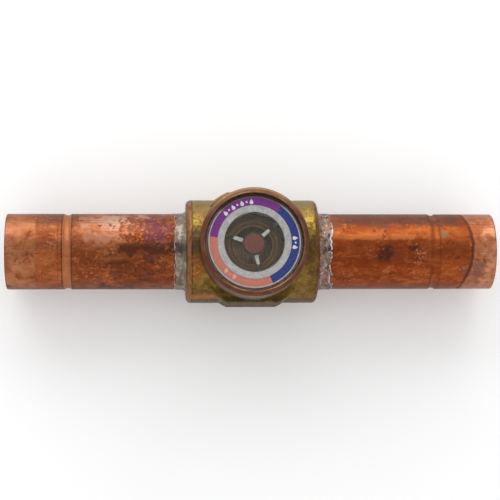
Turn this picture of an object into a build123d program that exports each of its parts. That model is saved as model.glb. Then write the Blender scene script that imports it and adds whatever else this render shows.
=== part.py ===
from build123d import *
import os
from math import pi, sqrt

# Brazed-in refrigerant sight glass with a moisture indicator behind a screwed-on window.
# Frame: +X along the pipe from inlet to outlet, +Z out through the window. The origin is where
# the pipe axis and the window axis cross. All sizes are millimetres.

# --- Copper stubs: drawn tube with a socket for the pipe in each mouth -------------------
stub_outer_r = 15.875
stub_wall = 1.524
stub_reach = 74.7            # from the body's end face to the mouth
stub_insertion = 11.0        # how deep each stub stands in the body
stop_from_mouth = 25.5       # middle of the rolled groove that stops the pipe
stop_width = 3.1
stop_depth = 0.55
mouth_round = 0.6            # deburred outer edge of the mouth

# --- Brazed joints ----------------------------------------------------------------------
braze_film = 0.10            # radial gap that the alloy fills
braze_reach = 3.4            # length of the fillet along the stub
braze_height = 1.5           # height of the fillet on the body's end face

# --- Body: one brass forging ------------------------------------------------------------
body_length = 54.9
socket_wall = 5.675          # brass around the stub sockets
body_end_round = 2.0
flow_step = 0.351            # the flow bore is this much inside the stubs' bore
pad_proud = 0.9              # wrench flats outside the wider of barrel and boss
pad_round_proud = 3.1        # the pad's round sides outside the wider of barrel and boss
pad_bottom_z = -5.0
pad_top_z = 14.2
pad_edge = 0.9
pad_corner = 1.5             # between a flat and the pad's round side
forging_radius = 1.0         # between the pad and the barrel
boss_step = 0.15             # the round boss is this much inside the window ring
boss_proud = 0.35            # its shoulder stands this much above the barrel
boss_edge = 0.4
port_hole_r = 7.8            # from the flow bore up into the window port
port_floor_wall = 3.2        # between the flow bore and the port's floor
port_depth = 1.3             # from the gasket's seat down to the port's floor
port_clearance = 0.53        # the port is this much wider than the glass

# --- Thread between the body's neck and the window ring (plain cylinders) ----------------
thread_r = 20.64             # 1-5/8 in - 18
thread_pitch = 1.411
thread_clearance = 0.06
neck_length = 4.25           # neck above the boss
neck_wall = 3.59             # between the thread and the bore for the shell
neck_edge = 0.5
thread_depth = 0.55          # of the ring grooves that stand for the thread's turns
thread_crest = 0.35          # plain land between two grooves

# --- Window ring ------------------------------------------------------------------------
ring_wall = 1.65             # brass outside the thread
ring_gap = 0.30              # between the boss and the ring
ring_lip_width = 2.55
ring_lip_thickness = 3.0
rest_gap = 0.05              # between the faces that the tightened ring presses together

# --- Slip washer ------------------------------------------------------------------------
washer_thickness = 0.5
washer_clearance = 0.30      # to the shell's raised face inside and to the ring outside

# --- Glass shell ------------------------------------------------------------------------
skirt_clearance = 0.05
flange_thickness = 1.2
flange_gap = 0.05            # between the neck's top face and the flange
shell_face_gap = 0.6         # between the raised face and the ring's lip
shell_face_height = 1.2
shell_edge = 0.35

# --- Colour dial, set in a shallow recess in the shell's face ----------------------------
dial_rim = 0.9               # silver rim outside the dial
dial_land = 3.0              # silver ring between the dial and the glass
dial_thickness = 0.20
dial_recess = 0.35

# --- Fused glass ------------------------------------------------------------------------
glass_r = 12.07
glass_thickness = 4.0
glass_below_face = 0.4
fuse_gap = 0.01              # between the glass and the shell's bore

# --- Gasket under the shell's skirt ------------------------------------------------------
gasket_thickness = 0.95
gasket_margin = 0.4          # gasket inside the edges of its seat

# --- Moisture indicator: paper on a felt wick in a small cup -----------------------------
indicator_r = 4.05           # paper that shows inside the cup's washer
cup_r = 4.75
cup_wall = 0.35
cup_floor = 0.30
cup_drain_r = 2.0            # hole that lets refrigerant reach the wick
cup_below_glass = 0.45
fit_gap = 0.04               # between the pieces packed in the cup
paper_thickness = 0.25
wick_thickness = 0.9
cup_washer_thickness = 0.2

# --- Spider: spring steel hub with legs that grip the shell's bore -----------------------
leg_count = 3
leg_turn = 42.0              # degrees from +X to the first leg
leg_thickness = 0.35
leg_width_hub = 1.7
leg_width_foot = 1.0
leg_bend_r = 8.6             # where a leg turns down
foot_length = 0.6
foot_clearance = 0.05
foot_above_skirt = 0.24      # feet above the skirt's lower end
hub_r = 4.4
leg_root_r = 3.4             # where a leg starts inside the hub

# --- Sizes that follow from the ones above ----------------------------------------------
body_half = body_length / 2
mouth_x = body_half + stub_reach
stub_bore_r = stub_outer_r - stub_wall
stub_end_x = body_half - stub_insertion
socket_r = stub_outer_r + braze_film
body_r = socket_r + socket_wall
flow_bore_r = stub_bore_r - flow_step

ring_bore_r = thread_r + thread_clearance
ring_r = ring_bore_r + ring_wall
ring_lip_inner_r = ring_r - ring_lip_width
boss_r = ring_r - boss_step
pad_r = max(body_r, boss_r) + pad_round_proud
pad_flat_half = max(body_r, boss_r) + pad_proud
neck_bore_r = thread_r - neck_wall
skirt_r = neck_bore_r - skirt_clearance
shell_face_r = ring_lip_inner_r - shell_face_gap
washer_inner_r = shell_face_r + washer_clearance
washer_outer_r = ring_bore_r - washer_clearance
flange_r = washer_outer_r
dial_outer_r = shell_face_r - dial_rim
dial_inner_r = glass_r + dial_land
port_bore_r = glass_r + port_clearance

# --- Levels, from the pipe axis up ------------------------------------------------------
port_floor_z = flow_bore_r + port_floor_wall
seat_z = port_floor_z + port_depth
skirt_bottom_z = seat_z + gasket_thickness
boss_top_z = body_r + boss_proud
neck_top_z = boss_top_z + neck_length
flange_bottom_z = neck_top_z + flange_gap
flange_top_z = flange_bottom_z + flange_thickness
shell_face_z = flange_top_z + shell_face_height
washer_bottom_z = flange_top_z + rest_gap
lip_bottom_z = washer_bottom_z + washer_thickness + rest_gap
ring_bottom_z = boss_top_z + ring_gap
ring_top_z = lip_bottom_z + ring_lip_thickness
dial_floor_z = shell_face_z - dial_recess
glass_top_z = shell_face_z - glass_below_face
glass_bottom_z = glass_top_z - glass_thickness

cup_top_z = glass_bottom_z - cup_below_glass
cup_washer_z = cup_top_z - cup_washer_thickness
paper_z = cup_washer_z - fit_gap - paper_thickness
wick_z = paper_z - fit_gap - wick_thickness
cup_bottom_z = wick_z - fit_gap - cup_floor
cup_bore_r = cup_r - cup_wall
packed_r = cup_bore_r - fit_gap
hub_z = cup_bottom_z - fit_gap - leg_thickness
foot_z = skirt_bottom_z + foot_above_skirt

MARGIN = 5.0                 # how far a cutting tool stands past the faces it cuts
TOUCH = 0.01                 # how near an edge lies to the surface it is looked for on


def turned(outline, axis):
    """Solid of revolution from a closed outline drawn in the XZ plane."""
    return revolve(Plane.XZ * make_face(outline), axis, 360)


def disc(radius, bottom, top):
    """Upright cylinder about the window axis between two levels."""
    return Pos(0, 0, bottom) * Cylinder(radius, top - bottom, align=(Align.CENTER, Align.CENTER, Align.MIN))


def ring(outer, inner, bottom, top):
    """Upright ring about the window axis between two levels."""
    return disc(outer, bottom, top) - disc(inner, bottom - MARGIN, top + MARGIN)


def pipe_rod(radius, x_low, x_high):
    """Round rod about the pipe axis between two places along it."""
    middle = (x_low + x_high) / 2
    return Pos(middle, 0, 0) * Rot(0, 90, 0) * Cylinder(radius, x_high - x_low)


def edges_at(solid, z, radius):
    """Round edges of a solid at one level and one radius about the window axis."""
    return [
        e
        for e in solid.edges().filter_by(GeomType.CIRCLE)
        if abs(e.center(CenterOf.BOUNDING_BOX).Z - z) < TOUCH and abs(e.radius - radius) < TOUCH
    ]


def thread_grooves(root_r, crest_r, bottom, top):
    """V-shaped rings a pitch apart, which cut a plain cylinder like the turns of its thread."""
    half_mouth = (thread_pitch - thread_crest) / 2
    count = int((top - bottom) / thread_pitch)
    first = (top + bottom - (count - 1) * thread_pitch) / 2
    grooves = []
    for i in range(count):
        z = first + i * thread_pitch
        corners = [(crest_r, z - half_mouth), (crest_r, z + half_mouth), (root_r, z)]
        grooves.append(turned(Polyline(*corners, close=True), Axis.Z))
    return grooves


def make_pad():
    """Round pad with two parallel wrench flats, all its edges rounded."""
    blank = disc(pad_r, pad_bottom_z, pad_top_z)
    jaws = Box(2 * (body_half - body_end_round), 2 * pad_flat_half, 4 * pad_r)
    pad = blank & jaws
    pad = fillet(pad.edges().filter_by(Axis.Z), pad_corner)
    levels = pad.faces().sort_by(Axis.Z)
    return fillet(levels[0].edges() + levels[-1].edges(), pad_edge)


def make_barrel():
    """Round barrel with its wrench pad, blended where they meet."""
    barrel = pipe_rod(body_r, -body_half, body_half)
    barrel = fillet(barrel.edges().filter_by(GeomType.CIRCLE), body_end_round)
    forging = barrel + make_pad()
    inside_ends = body_half - body_end_round - TOUCH
    seam = []
    for edge in forging.edges():
        middle = edge.position_at(0.5)
        if abs(sqrt(middle.Y**2 + middle.Z**2) - body_r) < TOUCH and abs(middle.X) < inside_ends:
            seam.append(edge)
    return fillet(seam, forging_radius)


def make_body():
    """Barrel with its stub sockets, wrench pad, window boss, threaded neck and window port."""
    boss = disc(boss_r, 0, boss_top_z)
    boss = chamfer(edges_at(boss, boss_top_z, boss_r), boss_edge)
    neck = disc(thread_r, 0, neck_top_z)
    neck = chamfer(edges_at(neck, neck_top_z, thread_r), neck_edge)
    neck -= thread_grooves(thread_r - thread_depth, thread_r, ring_bottom_z, neck_top_z - neck_edge)
    body = make_barrel() + boss + neck
    body -= pipe_rod(flow_bore_r, -body_half - MARGIN, body_half + MARGIN)
    for side in (-1, 1):
        ends = sorted((side * stub_end_x, side * (body_half + MARGIN)))
        body -= pipe_rod(socket_r, ends[0], ends[1])
    body -= disc(port_hole_r, 0, seat_z)
    body -= disc(port_bore_r, port_floor_z, seat_z + MARGIN)
    body -= disc(neck_bore_r, seat_z, neck_top_z + MARGIN)
    return body


def stub_outline():
    """Closed outline of the outlet stub's wall, with the rolled groove and its bead inside."""
    near = mouth_x - stop_from_mouth - stop_width / 2
    middle = mouth_x - stop_from_mouth
    far = mouth_x - stop_from_mouth + stop_width / 2
    outer = stub_outer_r
    inner = stub_bore_r
    corner = mouth_round * (1 - sqrt(0.5))
    return [
        Line((stub_end_x, inner), (stub_end_x, outer)),
        Line((stub_end_x, outer), (near, outer)),
        ThreePointArc((near, outer), (middle, outer - stop_depth), (far, outer)),
        Line((far, outer), (mouth_x - mouth_round, outer)),
        ThreePointArc(
            (mouth_x - mouth_round, outer), (mouth_x - corner, outer - corner), (mouth_x, outer - mouth_round)
        ),
        Line((mouth_x, outer - mouth_round), (mouth_x, inner)),
        Line((mouth_x, inner), (far, inner)),
        ThreePointArc((far, inner), (middle, inner - stop_depth), (near, inner)),
        Line((near, inner), (stub_end_x, inner)),
    ]


def make_stub():
    """Outlet stub; the inlet stub is its mirror image."""
    return turned(stub_outline(), Axis.X)


def make_braze():
    """Brazing alloy at the outlet: the film in the socket and the fillet on the end face."""
    foot = (body_half, socket_r + braze_height)
    toe = (body_half + braze_reach, stub_outer_r)
    hollow = 0.32
    belly = (body_half + hollow * braze_reach, stub_outer_r + hollow * (braze_film + braze_height))
    outline = [
        Line((stub_end_x, stub_outer_r), (stub_end_x, socket_r)),
        Line((stub_end_x, socket_r), (body_half, socket_r)),
        Line((body_half, socket_r), foot),
        ThreePointArc(foot, belly, toe),
        Line(toe, (stub_end_x, stub_outer_r)),
    ]
    return turned(outline, Axis.X)


def make_window_ring():
    """Threaded ring whose rounded lip holds the shell down."""
    lip_round = (ring_r - ring_lip_inner_r) / 2 - 0.01
    blank = disc(ring_r, ring_bottom_z, ring_top_z)
    blank -= disc(ring_bore_r, ring_bottom_z - MARGIN, lip_bottom_z)
    blank -= disc(ring_lip_inner_r, lip_bottom_z - MARGIN, ring_top_z + MARGIN)
    blank -= thread_grooves(ring_bore_r + thread_depth, ring_bore_r, ring_bottom_z, neck_top_z)
    crown = edges_at(blank, ring_top_z, ring_r) + edges_at(blank, ring_top_z, ring_lip_inner_r)
    blank = fillet(crown, lip_round)
    return chamfer(edges_at(blank, ring_bottom_z, ring_r), boss_edge)


def make_slip_washer():
    """Thin washer between the turning lip and the shell's flange."""
    return ring(washer_outer_r, washer_inner_r, washer_bottom_z, washer_bottom_z + washer_thickness)


def make_glass_shell():
    """Steel shell: skirt, flange and raised face, bored for the glass and the spider."""
    shell = disc(skirt_r, skirt_bottom_z, flange_top_z)
    shell += disc(flange_r, flange_bottom_z, flange_top_z)
    shell += disc(shell_face_r, flange_top_z, shell_face_z)
    shell -= disc(glass_r, skirt_bottom_z - MARGIN, shell_face_z + MARGIN)
    shell -= ring(dial_outer_r, dial_inner_r, dial_floor_z, shell_face_z + MARGIN)
    rim = edges_at(shell, shell_face_z, shell_face_r) + edges_at(shell, shell_face_z, glass_r)
    return chamfer(rim, shell_edge)


def make_colour_dial():
    """Printed ring in the recess of the shell's face."""
    return ring(dial_outer_r, dial_inner_r, dial_floor_z, dial_floor_z + dial_thickness)


def make_window_glass():
    """Glass fused into the shell's bore."""
    return disc(glass_r - fuse_gap, glass_bottom_z, glass_top_z)


def make_shell_gasket():
    """Flat gasket between the body's seat and the shell's skirt."""
    return ring(skirt_r - gasket_margin, port_bore_r + gasket_margin, seat_z, skirt_bottom_z)


def make_element_cup():
    """Small open cup that holds the paper and its wick."""
    cup = disc(cup_r, cup_bottom_z, cup_top_z)
    cup -= disc(cup_bore_r, cup_bottom_z + cup_floor, cup_top_z + MARGIN)
    return cup - disc(cup_drain_r, cup_bottom_z - MARGIN, cup_top_z)


def make_spider_leg():
    """One tapered leg along +X: out from the hub, down, and out again to the bore."""
    reach = glass_r - foot_clearance
    foot_start = reach - foot_length
    side = [
        (leg_root_r, hub_z + leg_thickness),
        (leg_bend_r, hub_z + leg_thickness),
        (foot_start, foot_z + leg_thickness),
        (reach, foot_z + leg_thickness),
        (reach, foot_z),
        (foot_start - leg_thickness / 2, foot_z),
        (leg_bend_r - leg_thickness / 2, hub_z),
        (leg_root_r, hub_z),
    ]
    strip = extrude(Plane.XZ * make_face(Polyline(*side, close=True)), leg_width_hub, both=True)
    half_hub = leg_width_hub / 2
    half_foot = leg_width_foot / 2
    corners = [(leg_root_r, -half_hub), (reach, -half_foot), (reach, half_foot), (leg_root_r, half_hub)]
    plan = make_face(Polyline(*corners, close=True))
    taper = Pos(0, 0, foot_z - MARGIN) * extrude(plan, hub_z - foot_z + 2 * MARGIN)
    return strip & taper


def make_spider_clip():
    """Hub ring under the cup with its spring legs."""
    spider = ring(hub_r, cup_drain_r, hub_z, hub_z + leg_thickness)
    leg = make_spider_leg()
    for i in range(leg_count):
        spider += Rot(0, 0, leg_turn + i * 360 / leg_count) * leg
    return spider


def make_all():
    """Every node's solid by name."""
    outlet_stub = make_stub()
    outlet_braze = make_braze()
    return {
        "body": make_body(),
        "inlet_stub": mirror(outlet_stub, Plane.YZ),
        "outlet_stub": outlet_stub,
        "inlet_braze": mirror(outlet_braze, Plane.YZ),
        "outlet_braze": outlet_braze,
        "window_ring": make_window_ring(),
        "slip_washer": make_slip_washer(),
        "glass_shell": make_glass_shell(),
        "window_glass": make_window_glass(),
        "colour_dial": make_colour_dial(),
        "shell_gasket": make_shell_gasket(),
        "element_cup": make_element_cup(),
        "element_wick": disc(packed_r, wick_z, wick_z + wick_thickness),
        "moisture_paper": disc(packed_r, paper_z, paper_z + paper_thickness),
        "element_washer": ring(packed_r, indicator_r, cup_washer_z, cup_top_z),
        "spider_clip": make_spider_clip(),
    }


os.makedirs("parts", exist_ok=True)
for node, shape in make_all().items():
    export_step(shape, f"parts/{node}.step")

turns = (neck_top_z - ring_bottom_z) / thread_pitch
print(f"mouth to mouth {2 * mouth_x:.2f}, pipe socket bore {stub_bore_r:.3f}, stop depth "
      f"{stop_from_mouth - stop_width / 2:.2f}")
print(f"ring top {ring_top_z:.2f}, shell face {shell_face_z:.2f}, thread engaged {turns:.2f} turns, "
      f"lift per radian {thread_pitch / (2 * pi):.6f}")
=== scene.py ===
import logging
import math
from dataclasses import dataclass, field
from enum import Enum
from functools import cache

import bmesh
import bpy
from mathutils import Matrix, Vector


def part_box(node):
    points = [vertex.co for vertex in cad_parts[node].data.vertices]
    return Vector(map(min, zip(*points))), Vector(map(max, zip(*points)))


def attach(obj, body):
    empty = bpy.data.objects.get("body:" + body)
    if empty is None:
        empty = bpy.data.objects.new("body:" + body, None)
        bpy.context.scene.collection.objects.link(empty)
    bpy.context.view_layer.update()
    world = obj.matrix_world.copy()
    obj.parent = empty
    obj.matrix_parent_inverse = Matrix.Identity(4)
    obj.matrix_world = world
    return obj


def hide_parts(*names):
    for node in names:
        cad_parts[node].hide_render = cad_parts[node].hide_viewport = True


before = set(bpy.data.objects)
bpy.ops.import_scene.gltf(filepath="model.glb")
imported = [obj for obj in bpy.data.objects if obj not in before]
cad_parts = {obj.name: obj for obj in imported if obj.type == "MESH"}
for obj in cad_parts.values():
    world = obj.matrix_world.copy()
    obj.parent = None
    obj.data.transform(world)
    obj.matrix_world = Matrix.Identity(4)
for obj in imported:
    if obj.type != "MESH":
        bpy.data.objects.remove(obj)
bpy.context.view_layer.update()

LOG = logging.getLogger("sight_glass")
MM = 0.001
MERGE = 1e-7                # m within which two points are one
NOISE_GAIN = 4.0            # noise strays about a quarter either side of its middle, 0.5
HOUSING = "housing"


# --- Colour and nodes --------------------------------------------------------------------


def linear(colour: str) -> tuple[float, float, float, float]:
    """Turn an sRGB hex colour into linear light.

    Args:
        colour: Hex colour such as "#b96e40".

    Returns:
        Red, green, blue and full opacity, as Blender's sockets take them.
    """
    parts = [int(colour[i : i + 2], 16) / 255 for i in (1, 3, 5)]
    red, green, blue = (c / 12.92 if c <= 0.04045 else ((c + 0.055) / 1.055) ** 2.4 for c in parts)
    return red, green, blue, 1.0


def add(tree: bpy.types.NodeTree, kind: str, inputs: dict | None = None, **settings: object) -> bpy.types.Node:
    """Add one node with its settings, values and links.

    Args:
        tree: Node tree that takes the node.
        kind: The node's type name.
        inputs: Socket name or number to a value, to the socket that feeds it, or to a node whose
            first output feeds it.
        settings: Attributes of the node itself.

    Returns:
        The new node.
    """
    node = tree.nodes.new(kind)
    for name, value in settings.items():
        setattr(node, name, value)
    for key, value in (inputs or {}).items():
        if isinstance(value, bpy.types.Node):
            value = value.outputs[0]
        if isinstance(value, bpy.types.NodeSocket):
            tree.links.new(value, node.inputs[key])
        else:
            node.inputs[key].default_value = value
    return node


# --- Finishes ----------------------------------------------------------------------------


class Along(Enum):
    """What a pattern is measured along, on Object coordinates."""

    PIPE = "along the pipe axis, mm"
    ACROSS = "across the wrench flats, mm"
    UP = "along the window axis, mm"
    WINDOW_RADIUS = "out from the window axis, mm"
    PIPE_RADIUS = "out from the pipe axis, mm"
    DIAL_ANGLE = "round the window axis from +X towards +Y, degrees"
    PIPE_ANGLE = "round the pipe axis, degrees"


@dataclass(frozen=True)
class Grain:
    """A blotchy mask: noise between two thresholds."""

    size: float                                     # mm between blotches
    low: float = 0.45
    high: float = 0.6
    stretch: tuple[float, float, float] = (1.0, 1.0, 1.0)
    detail: float = 3.0
    warp: float = 0.0
    place: tuple[float, float, float] = (0.0, 0.0, 0.0)


@dataclass(frozen=True)
class Lines:
    """Tool lines across one direction: noise that changes only along it."""

    along: Along
    pitch: float                                    # mm or degrees between lines
    low: float = 0.4
    high: float = 0.6
    detail: float = 2.0
    place: float = 0.0


@dataclass(frozen=True)
class Span:
    """A mask between two places along a direction, with an edge that noise makes ragged."""

    along: Along
    low: float
    high: float
    soft: float = 0.5
    ragged: float = 0.0
    ragged_size: float = 3.0
    bow: float = 0.0                                # mm that the edges run back for each mm² across


@dataclass(frozen=True)
class Patch:
    """An oval blotch round one place."""

    centre: tuple[float, float, float]              # mm
    half: tuple[float, float, float]                # mm
    soft: float = 0.6
    ragged: float = 0.5
    ragged_size: float = 3.0


Pattern = Grain | Lines | Span | Patch


@dataclass(frozen=True)
class Layer:
    """One colour laid over the ones before it, where all its masks are open."""

    colour: str
    masks: tuple[Pattern, ...]
    strength: float = 1.0
    metallic: float | None = None
    roughness: float | None = None
    height: float = 0.0                             # mm that the layer stands up


@dataclass(frozen=True)
class Relief:
    """Fine unevenness of a surface."""

    height: float                                   # mm
    pattern: Grain | Lines
    masks: tuple[Pattern, ...] = ()


@dataclass(frozen=True)
class Finish:
    """A real material with how its surface was made."""

    name: str
    colour: str
    metallic: float
    roughness: float
    layers: tuple[Layer, ...] = ()
    reliefs: tuple[Relief, ...] = ()
    transmission: float = 0.0
    ior: float | None = None
    subsurface: float = 0.0

    @cache
    def material(self) -> bpy.types.Material:
        """Build the finish once.

        Returns:
            The material, shared by every piece that has this finish.
        """
        return FinishBuilder(self).build()


class FinishBuilder:
    """Turns a finish into a Principled shader with masks on Object coordinates."""

    def __init__(self, finish: Finish) -> None:
        """Start an empty node tree for one finish.

        Args:
            finish: What to build.
        """
        self.finish = finish
        self.material = bpy.data.materials.new(finish.name)
        self.material.use_nodes = True
        self.tree = self.material.node_tree
        self.shader = self.tree.nodes["Principled BSDF"]
        coordinates = add(self.tree, "ShaderNodeTexCoord").outputs["Object"]
        self.place = add(self.tree, "ShaderNodeVectorMath", {0: coordinates, 3: 1 / MM}, operation="SCALE").outputs[0]
        self.axes = add(self.tree, "ShaderNodeSeparateXYZ", {0: self.place}).outputs
        # The first three directions are the plain axes; the others are worked out when asked for.
        self.measures: dict[Along, bpy.types.NodeSocket] = dict(zip(Along, self.axes))

    def measure(self, along: Along) -> bpy.types.NodeSocket:
        """Find the distance or angle along one of the object's own directions.

        Args:
            along: The direction.

        Returns:
            A socket in millimetres, or in degrees for an angle.
        """
        if along in self.measures:
            return self.measures[along]
        tree = self.tree
        if along in (Along.DIAL_ANGLE, Along.PIPE_ANGLE):
            first, second = (1, 0) if along is Along.DIAL_ANGLE else (1, 2)
            turn = add(tree, "ShaderNodeMath", {0: self.axes[first], 1: self.axes[second]}, operation="ARCTAN2")
            found = add(tree, "ShaderNodeMath", {0: turn}, operation="DEGREES").outputs[0]
        else:
            flat = (1.0, 1.0, 0.0) if along is Along.WINDOW_RADIUS else (0.0, 1.0, 1.0)
            shadow = add(tree, "ShaderNodeVectorMath", {0: self.place, 1: flat}, operation="MULTIPLY")
            found = add(tree, "ShaderNodeVectorMath", {0: shadow}, operation="LENGTH").outputs["Value"]
        self.measures[along] = found
        return found

    def strength(self, pattern: Grain | Lines) -> bpy.types.NodeSocket:
        """Give the plain value of a grain or of tool lines, round 0.5.

        Args:
            pattern: The grain or the lines.

        Returns:
            The value's socket.
        """
        tree = self.tree
        if isinstance(pattern, Lines):
            way = add(tree, "ShaderNodeMath", {0: self.measure(pattern.along), 1: 1 / pattern.pitch, 2: pattern.place},
                      operation="MULTIPLY_ADD")
            return add(tree, "ShaderNodeTexNoise", {"W": way, "Scale": 1.0, "Detail": pattern.detail},
                       noise_dimensions="1D").outputs["Fac"]
        factors = tuple(1 / (pattern.size * stretch) for stretch in pattern.stretch)
        moved = add(tree, "ShaderNodeMapping", {"Vector": self.place, "Location": pattern.place, "Scale": factors})
        return add(tree, "ShaderNodeTexNoise",
                   {"Vector": moved, "Scale": 1.0, "Detail": pattern.detail, "Distortion": pattern.warp}
                   ).outputs["Fac"]

    def wander(self, value: bpy.types.NodeSocket, amount: float, size: float) -> bpy.types.NodeSocket:
        """Add noise to a value, so that an edge made from it is ragged.

        Args:
            value: What to disturb.
            amount: Half the range of the noise.
            size: Millimetres between its bumps.

        Returns:
            The disturbed value.
        """
        if not amount:
            return value
        shift = add(self.tree, "ShaderNodeMath", {0: self.strength(Grain(size, detail=4.0)), 1: 0.5},
                    operation="SUBTRACT")
        return add(self.tree, "ShaderNodeMath", {0: shift, 1: NOISE_GAIN * amount, 2: value},
                   operation="MULTIPLY_ADD").outputs[0]

    def mask(self, pattern: Pattern) -> bpy.types.NodeSocket:
        """Give a pattern as a mask from 0 to 1.

        Args:
            pattern: What to mask.

        Returns:
            The mask's socket.
        """
        tree = self.tree
        ramp = {"interpolation_type": "SMOOTHSTEP"}
        if isinstance(pattern, (Grain, Lines)):
            value = self.strength(pattern)
            return add(tree, "ShaderNodeMapRange", {0: value, 1: pattern.low, 2: pattern.high}, **ramp).outputs[0]
        half = pattern.soft / 2
        if isinstance(pattern, Patch):
            factors = tuple(1 / size for size in pattern.half)
            back = tuple(-centre * factor for centre, factor in zip(pattern.centre, factors))
            moved = add(tree, "ShaderNodeMapping", {"Vector": self.place, "Location": back, "Scale": factors})
            away = add(tree, "ShaderNodeVectorMath", {0: moved}, operation="LENGTH").outputs["Value"]
            away = self.wander(away, pattern.ragged, pattern.ragged_size)
            return add(tree, "ShaderNodeMapRange", {0: away, 1: 1 + half, 2: 1 - half}, **ramp).outputs[0]
        value = self.measure(pattern.along)
        if pattern.bow:
            square = add(tree, "ShaderNodeMath", {0: self.axes[1], 1: self.axes[1]}, operation="MULTIPLY")
            value = add(tree, "ShaderNodeMath", {0: square, 1: pattern.bow, 2: value},
                        operation="MULTIPLY_ADD").outputs[0]
        value = self.wander(value, pattern.ragged, pattern.ragged_size)
        rise = add(tree, "ShaderNodeMapRange", {0: value, 1: pattern.low - half, 2: pattern.low + half}, **ramp)
        fall = add(tree, "ShaderNodeMapRange", {0: value, 1: pattern.high + half, 2: pattern.high - half}, **ramp)
        return add(tree, "ShaderNodeMath", {0: rise, 1: fall}, operation="MULTIPLY").outputs[0]

    def cover(self, masks: tuple[Pattern, ...], strength: float) -> bpy.types.NodeSocket | float:
        """Multiply masks together.

        Args:
            masks: The patterns.
            strength: What the cover is where all of them are open.

        Returns:
            The cover's socket, or the plain strength if there are no masks.
        """
        found: bpy.types.NodeSocket | float = strength
        for pattern in masks:
            found = add(self.tree, "ShaderNodeMath", {0: self.mask(pattern), 1: found},
                        operation="MULTIPLY").outputs[0]
        return found

    def build(self) -> bpy.types.Material:
        """Lay the colours, then the reliefs, then set the shader.

        Returns:
            The finished material.
        """
        finish, tree = self.finish, self.tree
        values: dict[str, object] = {
            "Base Color": linear(finish.colour),
            "Metallic": finish.metallic,
            "Roughness": finish.roughness,
        }
        heights: list[tuple[object, float]] = []
        for layer in finish.layers:
            cover = self.cover(layer.masks, layer.strength)
            values["Base Color"] = add(
                tree, "ShaderNodeMix", {0: cover, 6: values["Base Color"], 7: linear(layer.colour)}, data_type="RGBA"
            ).outputs[2]
            for name, value in (("Metallic", layer.metallic), ("Roughness", layer.roughness)):
                if value is not None:
                    values[name] = add(tree, "ShaderNodeMix", {0: cover, 2: values[name], 3: value}).outputs[0]
            if layer.height:
                heights.append((cover, layer.height))
        for relief in finish.reliefs:
            cover = self.cover(relief.masks, 1.0)
            rise = add(tree, "ShaderNodeMath", {0: self.strength(relief.pattern), 1: cover}, operation="MULTIPLY")
            heights.append((rise, relief.height))
        for rise, height in heights:
            bump = {"Height": rise, "Distance": height * MM, "Strength": 1.0}
            if "Normal" in values:
                bump["Normal"] = values["Normal"]
            values["Normal"] = add(tree, "ShaderNodeBump", bump).outputs[0]
        if finish.transmission:
            values["Transmission Weight"] = finish.transmission
        if finish.ior is not None:
            values["IOR"] = finish.ior
        if finish.subsurface:
            values["Subsurface Weight"] = finish.subsurface
            values["Subsurface Scale"] = MM
        for key, value in values.items():
            if isinstance(value, bpy.types.NodeSocket):
                tree.links.new(value, self.shader.inputs[key])
            else:
                self.shader.inputs[key].default_value = value
        return self.material


CROWN = 15.9                # mm from the pipe axis to the tube's crown


def drawn_reliefs(place: float) -> tuple[Relief, ...]:
    """Give the lines that a drawing die leaves along a tube, with pitting and handling dents.

    Real die lines are finer; these are as coarse as they need to be to show.

    Args:
        place: Where in the noise the lines are taken from, so that two tubes differ.

    Returns:
        The reliefs, fine to coarse.
    """
    return (
        Relief(0.03, Lines(Along.PIPE_ANGLE, 2.2, place=place)),
        Relief(0.05, Grain(0.9, detail=4, place=(0, place, 0))),
        Relief(0.16, Grain(8.0, stretch=(1.8, 1, 1), place=(0, 0, place))),
    )


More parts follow.
